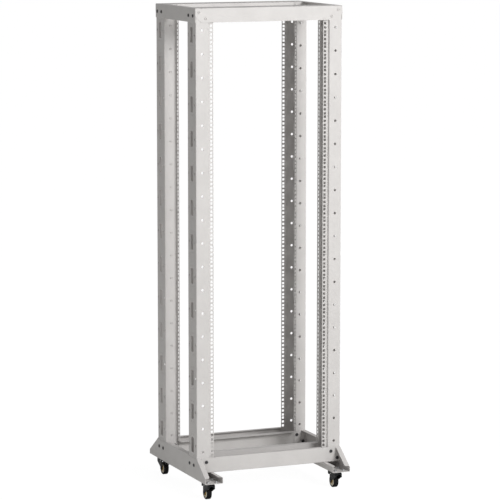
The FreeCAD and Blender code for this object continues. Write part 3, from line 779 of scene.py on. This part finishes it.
def top_beam(size):
    """The top front beam: a channel open downwards, with cut corners and a slit at each end of its bend."""
    half = size.beam_sheet / 2
    (_, out_y, low), (end_x, in_y, top) = TOP_BEAM
    corners = [(out_y + half, low), (out_y + half, top - half), (in_y - half, top - half), (in_y - half, low)]
    channel = BentSheet(corners, size.beam_bend + half, size.beam_sheet)
    inner_x = end_x - size.beam_sheet
    wall = channel.folds[0]
    outline = whole_outline([
        (0, end_x - size.corner_cut),
        (size.corner_cut, end_x),
        (wall, end_x),
        (wall, inner_x),
        (channel.width, inner_x),
    ])
    slit_from, slit_to = wall - size.relief_overlap, channel.at(BEAM_WEB, size.relief_depth + half)
    slit_x = end_x - size.relief_inset - size.relief_length / 2
    holes = [box_of((slit_from + slit_to) / 2, side * slit_x, slit_to - slit_from, size.relief_length)
             for side in (LEFT, RIGHT)]
    return laid(channel.form(outline, holes), "yzx")


def side_beam(size):
    """The right side beam: a wall whose top and bottom are flanged inwards between the posts."""
    half = size.beam_sheet / 2
    (in_x, _, low), (out_x, flange_y, top) = SIDE_BEAM
    corners = [(in_x, top - half), (out_x - half, top - half), (out_x - half, low + half), (in_x, low + half)]
    side = BentSheet(corners, size.beam_bend + half, size.beam_sheet)
    reach = -TOP_BEAM[1][1]
    first, last = side.folds[0], side.folds[-1]
    outline = whole_outline([
        (0, reach),
        (first, reach),
        (first, flange_y),
        (last, flange_y),
        (last, reach),
        (side.width, reach),
    ])
    return laid(side.form(outline), "xzy")


def base_beam(size):
    """The base front beam: a channel open upwards, each wall with a flange at its top between the posts."""
    half, sheet = size.beam_sheet / 2, size.beam_sheet
    (_, out_y, low), (end_x, in_y, top) = BASE_BEAM
    corners = [(out_y + half, top), (out_y + half, low + half), (in_y - half, low + half), (in_y - half, top)]
    base = BentSheet(corners, size.beam_bend + half, sheet)
    between = POST[0][0] - size.rail_clearance
    behind = post_step() - size.rail_clearance
    notch = size.corner_relief
    outline = whole_outline([
        (0, between),
        (notch, between),
        (notch, between + notch),
        (0, between + notch),
        (0, end_x),
        (base.width, end_x),
        (base.width, behind + notch),
        (base.width - notch, behind + notch),
        (base.width - notch, behind),
        (base.width, behind),
    ])
    return sheets_joined([
        laid(base.form(outline), "yzx"),
        box_sheet((-between, out_y + sheet, top - sheet), (between, out_y + size.base_return, top)),
        box_sheet((-behind, in_y, top - sheet), (behind, in_y + size.base_ledge, top)),
    ])


def build_beams(context):
    """Top and base beams: folded channels between the posts' ends, and side beams with flanges."""
    size = in_mm(context.scene.rack_sizes)
    front = top_beam(size)
    add_sheet(context, "top_beam_sheet_front", front, "top_front_beam")
    add_sheet(context, "top_beam_sheet_rear", sheet_mirrored(front, 1, -1), "top_rear_beam")
    right = side_beam(size)
    add_sheet(context, "top_beam_sheet_right", right, "top_right_beam")
    add_sheet(context, "top_beam_sheet_left", sheet_mirrored(right, -1, 1), "top_left_beam")
    front = base_beam(size)
    add_sheet(context, "base_beam_sheet_front", front, "base_front_beam")
    add_sheet(context, "base_beam_sheet_rear", sheet_mirrored(front, 1, -1), "base_rear_beam")


def foot_slope(size):
    """Angle of a foot's sloping edges: they fall from the base beam's outside to the foot's ends."""
    fall = FOOT[1][2] - FOOT[0][2] - size.foot_end_height
    return math.atan2(fall, FOOT[1][1] + BASE_BEAM[0][1])


def foot_channel(size):
    """The right foot's channel: a lip, a low inner wall, the base and an outer wall with sloping ends."""
    sheet, half = size.beam_sheet, size.beam_sheet / 2
    radius = size.beam_bend + half
    (in_x, _, low), (out_x, end_y, top) = FOOT
    lip_z = low + size.foot_lip_height - half
    foot = BentSheet([
        (in_x + size.foot_lip_width, lip_z),
        (in_x + half, lip_z),
        (in_x + half, low + half),
        (out_x - half, low + half),
        (out_x - half, top - half),
        (out_x - size.side_flange, top - half),
    ], radius, sheet)
    # The wall stops where the slope flange's bend begins.
    drop = (size.beam_bend + sheet) / math.cos(foot_slope(size))
    wall_top, shoulder = foot.folds[-BEND_STEPS - 1], -BASE_BEAM[0][1]
    reach = -BASE_BEAM[1][1]

    def up(z):
        """Length along the sheet of a height on the outer wall."""
        return foot.at(FOOT_WALL, z - low - half)

    outline = whole_outline([
        (0, end_y - size.foot_lip_width),
        (foot.at(FOOT_LIP, size.foot_lip_width - half - radius), end_y - half - radius),
        (foot.folds[0], end_y),
        (up(low + size.foot_end_height - drop), end_y),
        (up(top - drop), shoulder),
        (wall_top, shoulder - 1),
        (wall_top, reach),
        (foot.width, reach),
    ])
    return laid(foot.form(outline), "xzy")


def slope_flange(size):
    """The flange along a foot's rear slope: its section is square to the slope, its folds run down it."""
    sheet, half = size.beam_sheet, size.beam_sheet / 2
    out_x, end_y, top = FOOT[1]
    shoulder, slope = -BASE_BEAM[0][1], foot_slope(size)
    run = (end_y - shoulder) / math.cos(slope)
    leg = size.beam_bend + sheet
    corners = [(out_x - half, -leg), (out_x - half, -half), (out_x - size.side_flange, -half)]
    flange = BentSheet(corners, size.beam_bend + half, sheet)
    end = run - size.flange_setback / math.cos(slope)
    outline = [
        (0, 0),
        (flange.width, 0),
        (flange.width, end - size.flange_corner),
        (flange.width - size.flange_corner, end),
        (flange.folds[-1], end),
        (flange.folds[0], run),
        (0, run),
    ]
    points, faces, corners = laid(flange.form(outline), "xzy")
    turn = np.array([
        [1, 0, 0],
        [0, math.cos(slope), math.sin(slope)],
        [0, -math.sin(slope), math.cos(slope)],
    ])
    return points @ turn.T + [0, shoulder, top], faces, corners @ turn.T


def build_feet(context):
    """Two feet: a low channel with a tall sloping outer wall, flanged along its slopes and its top."""
    size = in_mm(context.scene.rack_sizes)
    rear = slope_flange(size)
    right = sheets_joined([foot_channel(size), rear, sheet_mirrored(rear, 1, -1)])
    add_sheet(context, "foot_sheet_left", sheet_mirrored(right, -1, 1), "foot_left")
    add_sheet(context, "foot_sheet_right", right, "foot_right")


def build_fasteners(context):
    """Screws, bolts and nuts of the frame, each a revolved or hexagonal head on the sheet that it holds."""
    size = in_mm(context.scene.rack_sizes)
    top, base_top = TOP_BEAM[1][2], BASE_BEAM[1][2]
    face_y, out_x = TOP_BEAM[0][1], TOP_BEAM[1][0]
    inner_y, post_y = BASE_BEAM[1][1], POST[0][1]
    screw = revolved(socket_head(size.screw_radius, height=2.6, bevel=0.9, depth=2.5), sides=20)
    bolt = revolved(socket_head(size.bolt_radius, height=3.6, bevel=1.2, depth=2.4), sides=24)
    low_bolt = revolved(socket_head(size.bolt_radius, height=2.2, bevel=0.8, depth=1.6), sides=24)

    def side_row(places, edge):
        """Bolts on both sides of the frame, below an edge."""
        behind, ahead, fall = places
        spots = [post_y + step for step in behind] + [-post_y - step for step in ahead]
        return [moved(turned_to(low_bolt, facing), (x * out_x, y, edge - fall))
                for x, facing in ((LEFT, "-x"), (RIGHT, "x")) for y in spots]

    def end_row(head, places, walls):
        """Heads on walls that face forwards or backwards."""
        return [moved(turned_to(head, facing), (x * across, y, z))
                for x in (LEFT, RIGHT) for across, z in places for facing, y in walls]

    outer_walls = [("-y", face_y), ("y", -face_y)]
    inner_walls = [("y", inner_y), ("-y", -inner_y)]
    screws = end_row(screw, [(out_x - inset, top - fall) for inset, fall in SCREW_PLACES], outer_walls)
    base_bolts = end_row(bolt, [(across, base_top - fall) for across, fall in BASE_BOLT_PLACES],
                         outer_walls + inner_walls)
    nut = joined([
        prism(ring_of(0, 0, size.nut_radius, 6), 0, 4.5),
        revolved([(0, 0), (3.6, 0), (3.6, 6.2), (3.0, 6.8), (0, 6.8)], sides=16),
    ])
    head = turned_over(revolved([(0, 0), (6.2, 0), (5.6, 1.3), (3.5, 2.1), (0, 2.3)], sides=20))
    nut_z, head_z = FOOT[0][2] + size.beam_sheet, FORK[1][2] + size.turning_gap
    across, along = CASTER_NUT
    plate_nuts = [moved(form, centre + (x, y, z))
                  for _, _, _, centre in caster_places()
                  for x in (-across, across)
                  for y in (-along, along)
                  for form, z in ((nut, nut_z), (head, head_z))]
    add_form(context, "caster_nuts", joined(plate_nuts), "root", "axle_zinc", maker=zinc_plate)
    add_form(context, "corner_screws", joined(screws), "root", "frame_paint")
    add_form(context, "side_beam_bolts", joined(side_row(SIDE_BOLTS, top)), "root", "axle_zinc")
    add_form(context, "base_beam_bolts", joined(base_bolts), "root", "axle_zinc")
    add_form(context, "foot_bolts", joined(side_row(FOOT_BOLTS, base_top)), "root", "axle_zinc")


def caster_places():
    """Each caster's name, the signs of its place and its swivel axis."""
    centre = (PLATE[0] + PLATE[1]) / 2
    return [(at, x, y, np.array([x * centre[0], -y * centre[1], 0.0])) for at, x, y in CORNERS]


def merged(points, quads):
    """A form without double points: quads are cut to triangles, and those that are flat are left out."""
    unique, renumbered = np.unique(np.round(points, 6), axis=0, return_inverse=True)
    quads = renumbered.reshape(-1)[quads]
    triangles = np.vstack([quads[:, [0, 1, 2]], quads[:, [0, 2, 3]]])
    a, b, c = triangles.T
    return unique, [triangles[(a != b) & (b != c) & (c != a)]]


def hood_form(size):
    """The pressed hood's outside.

    Columns round its plan each run out from the middle line, over a quarter circle and down to the lower
    edge. The edge is an arch in front, then slopes back to the boss and follows its arc.
    """
    _, axle_y, axle_z = AXLE_SPOT
    half = AXLE_REACH - size.axle_head_height
    front, back = FORK[0][1] - CASTER_Y, FORK[1][1] - CASTER_Y
    top = FORK[1][2] - size.race_height
    corner, boss = size.hood_corner, size.boss_radius
    skirt, crown = top - size.hood_skirt, top - size.hood_crown

    bow_x = np.linspace(0, half - corner, 7)[:-1]
    turn = np.linspace(0, math.pi / 2, 9)
    plan = np.vstack([
        np.c_[bow_x, np.full(len(bow_x), front)],
        np.c_[half - corner + corner * np.sin(turn), front + corner - corner * np.cos(turn)],
    ])
    inner = half - size.hood_sheet
    arch = skirt + (crown - skirt) * np.sqrt(np.clip(1 - (plan[:, 0] / inner) ** 2, 0, 1))
    angles = np.linspace(math.radians(188), 2 * math.pi, 15)
    # The slope runs into the boss a little ahead of it and above the axle.
    slope_end = np.array([axle_y - 1.2 * boss, axle_z + 0.55 * boss])
    slope = np.linspace([front + corner, skirt], slope_end, 9)[1:]
    edge = np.vstack([slope, np.c_[axle_y + boss * np.cos(angles), axle_z + boss * np.sin(angles)]])
    share = (edge[:, 0] - plan[-1, 1]) / (edge[-1, 0] - plan[-1, 1])
    cheek = np.c_[np.full(len(edge), half), plan[-1, 1] + share * (back - plan[-1, 1])]

    columns = np.vstack([plan, cheek])
    outward = np.vstack([
        np.tile([0.0, -1.0], (len(bow_x), 1)),
        np.c_[np.sin(turn), -np.cos(turn)],
        np.tile([1.0, 0.0], (len(edge), 1)),
    ])
    low = np.vstack([np.c_[plan, arch], np.c_[np.full(len(edge), half), edge]])
    spine_y = np.maximum(columns[:, 1], front + corner)
    rows = [np.c_[np.zeros(len(columns)), spine_y, np.full(len(columns), top)]]
    shoulder = size.hood_shoulder
    for angle in np.linspace(0, math.pi / 2, 6):
        place = columns - outward * shoulder * (1 - math.sin(angle))
        rows.append(np.c_[place, np.full(len(place), top - shoulder * (1 - math.cos(angle)))])
    brim = rows[-1]
    grid = np.stack([*rows, brim + (low - brim) * 0.5, low])
    at = np.arange(grid.shape[0] * grid.shape[1]).reshape(grid.shape[:2])
    quads = np.stack([at[:-1, :-1], at[1:, :-1], at[1:, 1:], at[:-1, 1:]], axis=-1).reshape(-1, 4)
    right = grid.reshape(-1, 3)
    left = right * [-1, 1, 1]
    return merged(np.vstack([right, left]), np.vstack([quads, quads[:, ::-1] + len(right)]))


# The small steps and bevels in the profiles below are in millimetres.

def plate_form(size):
    """A caster's plate with its kingpin, whose head shows below."""
    low, high, head_low = FORK[1][2] + size.turning_gap, PLATE[1][2], PLATE[0][2]
    pin, head = size.kingpin_radius, size.kingpin_head
    width, depth, _ = PLATE[1] - PLATE[0]
    return joined([
        prism(rounded_box(0, 0, width, depth, size.plate_corner), low, high),
        revolved([(0, head_low), (head - 0.8, head_low), (head, head_low + 0.8), (head, head_low + 2),
                  (pin, head_low + 2), (pin, low), (0, low)], sides=24),
    ])


def race_form(size):
    """A caster's swivel race: a low drum with a groove round it."""
    low, high, race = FORK[1][2] - size.race_height, FORK[1][2], size.race_radius
    return revolved([(0, low), (race - 1.8, low), (race - 1.2, low + 2), (race - 1.2, low + 2.6),
                     (race, low + 3), (race, high - 1), (race - 1, high), (0, high)], sides=48)


def cheek_inside(size):
    """From the wheel's middle to just short of a hood cheek's inner face."""
    return AXLE_REACH - size.axle_head_height - size.hood_sheet - size.turning_gap


def wheel_forms(size):
    """A wheel's tyre with round shoulders, its dished hub and its flanged bush, as rings about the axle."""
    width, radius, _ = (TYRE[1] - TYRE[0])[[0, 2, 1]] / 2
    hub, bush, flange, shoulder = size.hub_radius, size.bush_radius, size.bush_flange, size.tyre_shoulder
    cheek = cheek_inside(size)
    arc = np.linspace(0, math.pi / 2, 6)
    crown = np.c_[radius - shoulder * (1 - np.cos(arc)), width - shoulder * (1 - np.sin(arc))]
    tyre_half = np.vstack([crown, [(hub + 0.8, width), (hub, width - 0.6)]])
    hub_half = [(hub, width - 0.6), (hub - 1.6, width - 0.2), (hub - 2.3, width - 2.2),
                (flange + 2.4, width - 2.2), (flange + 1.6, width), (bush, width)]
    bush_half = [(bush, width), (flange, width), (flange, cheek - 0.5), (flange - 0.5, cheek),
                 (size.axle_radius, cheek)]
    return [revolved(both_sides(half), sides, closed=True)
            for half, sides in ((tyre_half, 64), (hub_half, 64), (bush_half, 40))]


def axle_form(size):
    """A wheel's axle with a low domed head outside each cheek."""
    head, under = size.axle_head, AXLE_REACH - size.axle_head_height
    return revolved(both_sides([(size.axle_radius, under), (head, under), (head, AXLE_REACH - 0.8),
                                (head - 1.1, AXLE_REACH - 0.2), (0, AXLE_REACH)]), sides=28)


def pedal_pin(size):
    """Where a pedal's pin crosses the caster's middle."""
    return np.array([0, AXLE_SPOT[1] - size.pedal_setback, PEDAL[1][2] - size.pedal_barrel])


def pedal_form(size):
    """A brake pedal about its pin: a tongue that ends in a deep block, with grip ribs on top."""
    pin = pedal_pin(size)
    tip = PEDAL[1][1] - CASTER_Y - pin[1]
    drop = PEDAL[0][2] - pin[2] - size.pedal_heel
    side = [
        (-2.5, -1.5),
        (3, -2.6),
        (tip * 0.66, -2.0),
        (tip * 0.8, drop),
        (tip - 1.2, drop),
        (tip, drop + 2),
        (tip, 2.5),
        (tip - 2.5, 5),
        (tip * 0.55, 5.2),
        (3, size.pedal_barrel - 0.2),
        (-1.5, size.pedal_barrel - 0.4),
    ]
    half = size.pedal_width / 2
    ribs = [prism(box_of(tip - 5 - 4 * step, 5.3, 1.6, 1.4), 1.5 - half, half - 1.5) for step in range(3)]
    return joined([prism(side, -half, half), *ribs])


def barrel_form(size):
    """The barrel that a pedal turns on, between the hood's cheeks."""
    radius, end = size.pedal_barrel, cheek_inside(size) - 0.3
    return revolved([(0, -end), (radius, -end), (radius, end), (0, end)], sides=24)


def rivet_forms(size):
    """The two domed rivets that hold a pedal's pin, outside the hood's cheeks."""
    rivet = revolved([(0, 0), (3, 0), (3, 0.5), (2.4, 1.2), (1.2, 1.5), (0, 1.6)], sides=16)
    _, y, z = pedal_pin(size)
    out = cheek_inside(size) + size.turning_gap + size.hood_sheet
    return joined([moved(turned_to(rivet, "x"), (out, y, z)), moved(turned_to(rivet, "-x"), (-out, y, z))])


def build_casters(context):
    """Casters: plate, swivel race, hood, tyre, hub, bush, axle and brake pedal."""
    size = in_mm(context.scene.rack_sizes)
    tyre, hub, bush = [moved(turned_to(form, "x"), AXLE_SPOT) for form in wheel_forms(size)]
    axle = moved(turned_to(axle_form(size), "x"), AXLE_SPOT)
    pedal = moved(turned_to(pedal_form(size), "x"), pedal_pin(size))
    barrel = moved(turned_to(barrel_form(size), "x"), pedal_pin(size))
    # Each piece's name, form, body, slot, the node that it stands for, and its finish if it isn't the slot's.
    pieces = [
        ("caster_plate", plate_form(size), "root", "caster_black", "caster_plate", None),
        ("swivel_race", race_form(size), "swivel", "caster_black", None, black_oxide),
        ("caster_hood", hood_form(size), "swivel", "caster_black", "caster_fork", None),
        ("axle", axle, "swivel", "axle_zinc", "wheel_axle", None),
        ("pedal_rivets", rivet_forms(size), "swivel", "axle_zinc", None, zinc_plate),
        ("tyre", tyre, "wheel", "tyre_rubber", "wheel_tyre", None),
        ("hub", hub, "wheel", "hub_nylon", "wheel_hub", None),
        ("bush", bush, "wheel", "bush_brass", "wheel_bush", None),
        ("pedal", pedal, "brake", "pedal_plastic", "brake_pedal", None),
        ("pedal_barrel", barrel, "brake", "pedal_plastic", None, None),
    ]
    for at, x, y, centre in caster_places():
        for name, form, body, slot, node, maker in pieces:
            carrier = body if body == "root" else f"{body}_{at}"
            nodes = [f"{node}_{at}"] if node else []
            placed = moved(mirrored(form, x, -y), centre)
            piece = add_form(context, f"{name}_{at}", placed, carrier, slot, nodes, maker)
            if name == "caster_hood":
                pressed = piece.modifiers.new("thickness", "SOLIDIFY")
                pressed.thickness = size.hood_sheet * MM
                pressed.offset = -1
                pressed.use_even_offset = True
            if name == "pedal":
                soften = piece.modifiers.new("moulded_edges", "BEVEL")
                soften.width = 0.5 * MM
                soften.segments = 2


def seen_or_lit(tree, lit, seen):
    """A shader that is one thing to the camera and another to the light."""
    ray = add_node(tree, "ShaderNodeLightPath").outputs["Is Camera Ray"]
    chosen = add_node(tree, "ShaderNodeMixShader", links={0: ray, 1: lit.outputs[0], 2: seen.outputs[0]})
    return chosen.outputs[0]


def build_floor(scene):
    """A wide pale floor that lights the rack from below and blends into the backdrop."""
    mesh = bpy.data.meshes.new("studio_floor")
    outline = box_of(0, 0, 2 * FLOOR_REACH, 2 * FLOOR_REACH)
    mesh.from_pydata([(x, y, 0) for x, y in outline.tolist()], [], [range(len(outline))])
    floor = bpy.data.objects.new("studio_floor", mesh)
    scene.collection.objects.link(floor)
    material = bpy.data.materials.new("pale_floor")
    material.use_nodes = True
    tree = material.node_tree
    tree.nodes.clear()
    paint = add_node(tree, "ShaderNodeBsdfDiffuse", {"Color": (*scene.rack_finishes.floor, 1)})
    shade = add_node(tree, "ShaderNodeBsdfDiffuse", {"Color": (FLOOR_GREY, FLOOR_GREY, FLOOR_GREY, 1)})
    glow = add_node(tree, "ShaderNodeEmission", {"Strength": FLOOR_GLOW})
    bright = add_node(tree, "ShaderNodeAddShader", links={0: shade.outputs[0], 1: glow.outputs[0]})
    add_node(tree, "ShaderNodeOutputMaterial", links={"Surface": seen_or_lit(tree, paint, bright)})
    mesh.materials.append(material)


def build_world(scene):
    """An even fill and, for the camera, a white backdrop."""
    scene.world = bpy.data.worlds.new("studio")
    scene.world.use_nodes = True
    tree = scene.world.node_tree
    tree.nodes.clear()
    fill, backdrop = [add_node(tree, "ShaderNodeBackground", {"Color": (1, 1, 1, 1), "Strength": strength})
                      for strength in (WORLD_FILL, BACKDROP)]
    add_node(tree, "ShaderNodeOutputWorld", links={"Surface": seen_or_lit(tree, fill, backdrop)})


def build_lights(scene):
    """A large soft key light from the front right, and a faint one from overhead."""
    light = bpy.data.lights.new("key", "AREA")
    light.energy = KEY_POWER
    light.size = KEY_SIZE
    key = bpy.data.objects.new("key", light)
    key.location = KEY_PLACE
    x, y, z = np.subtract(KEY_AIM, KEY_PLACE)
    key.rotation_euler = (math.atan2(math.hypot(x, y), -z), 0, math.atan2(-x, y))
    scene.collection.objects.link(key)
    light = bpy.data.lights.new("overhead", "SUN")
    light.energy = OVERHEAD_STRENGTH
    light.angle = OVERHEAD_SPREAD
    scene.collection.objects.link(bpy.data.objects.new("overhead", light))


def build_stage(context):
    """A wide pale floor, an even fill, a large soft key light from the front right and the camera."""
    scene = context.scene
    scene.view_settings.view_transform = "Standard"
    scene.view_settings.look = "None"
    build_floor(scene)
    build_world(scene)
    build_lights(scene)
    camera = bpy.data.objects.new("camera", bpy.data.cameras.new("camera"))
    camera.location = CAMERA_PLACE
    camera.rotation_euler = (math.pi / 2 - CAMERA_DOWN, 0, CAMERA_TURN)
    camera.data.lens = CAMERA_LENS
    camera.data.sensor_width = CAMERA_SENSOR
    camera.data.shift_x, camera.data.shift_y = CAMERA_SHIFT
    scene.collection.objects.link(camera)
    scene.camera = camera


class RACK_OT_posts(bpy.types.Operator):
    """Builds the four posts as folded sheets with every hole"""
    bl_idname = "rack.posts"
    bl_label = "Posts"

    def execute(self, context):
        build_posts(context)
        return {"FINISHED"}


class RACK_OT_beams(bpy.types.Operator):
    """Builds the top and base beams"""
    bl_idname = "rack.beams"
    bl_label = "Beams"

    def execute(self, context):
        build_beams(context)
        return {"FINISHED"}


class RACK_OT_feet(bpy.types.Operator):
    """Builds the two feet"""
    bl_idname = "rack.feet"
    bl_label = "Feet"

    def execute(self, context):
        build_feet(context)
        return {"FINISHED"}


class RACK_OT_fasteners(bpy.types.Operator):
    """Builds the frame's bolts and screws"""
    bl_idname = "rack.fasteners"
    bl_label = "Bolts and screws"

    def execute(self, context):
        build_fasteners(context)
        return {"FINISHED"}


class RACK_OT_casters(bpy.types.Operator):
    """Builds the four casters with their brakes"""
    bl_idname = "rack.casters"
    bl_label = "Casters"

    def execute(self, context):
        build_casters(context)
        return {"FINISHED"}


class RACK_OT_stage(bpy.types.Operator):
    """Builds the pale floor, the soft light and the camera"""
    bl_idname = "rack.stage"
    bl_label = "Studio"

    def execute(self, context):
        build_stage(context)
        return {"FINISHED"}


class RACK_PT_sidebar(bpy.types.Panel):
    """Lists the rack's builders and sizes"""
    bl_idname = "RACK_PT_sidebar"
    bl_label = "Rack"
    bl_space_type = "VIEW_3D"
    bl_region_type = "UI"
    bl_category = "Rack"

    def draw(self, context):
        for operator in OPERATORS:
            self.layout.operator(operator.bl_idname)
        for group in (context.scene.rack_sizes, context.scene.rack_finishes):
            for name in group.__annotations__:
                self.layout.prop(group, name)


OPERATORS = [RACK_OT_posts, RACK_OT_beams, RACK_OT_feet, RACK_OT_fasteners, RACK_OT_casters, RACK_OT_stage]
CLASSES = [RackSizes, RackFinishes, *OPERATORS, RACK_PT_sidebar]


def register():
    for each in CLASSES:
        bpy.utils.register_class(each)
    bpy.types.Scene.rack_sizes = PointerProperty(type=RackSizes)
    bpy.types.Scene.rack_finishes = PointerProperty(type=RackFinishes)


def unregister():
    del bpy.types.Scene.rack_finishes
    del bpy.types.Scene.rack_sizes
    for each in reversed(CLASSES):
        bpy.utils.unregister_class(each)


def main():
    """Builds every piece and the studio."""
    register()
    bpy.ops.rack.posts()
    bpy.ops.rack.beams()
    bpy.ops.rack.feet()
    bpy.ops.rack.fasteners()
    bpy.ops.rack.casters()
    bpy.ops.rack.stage()


if __name__ == "__main__":
    main()
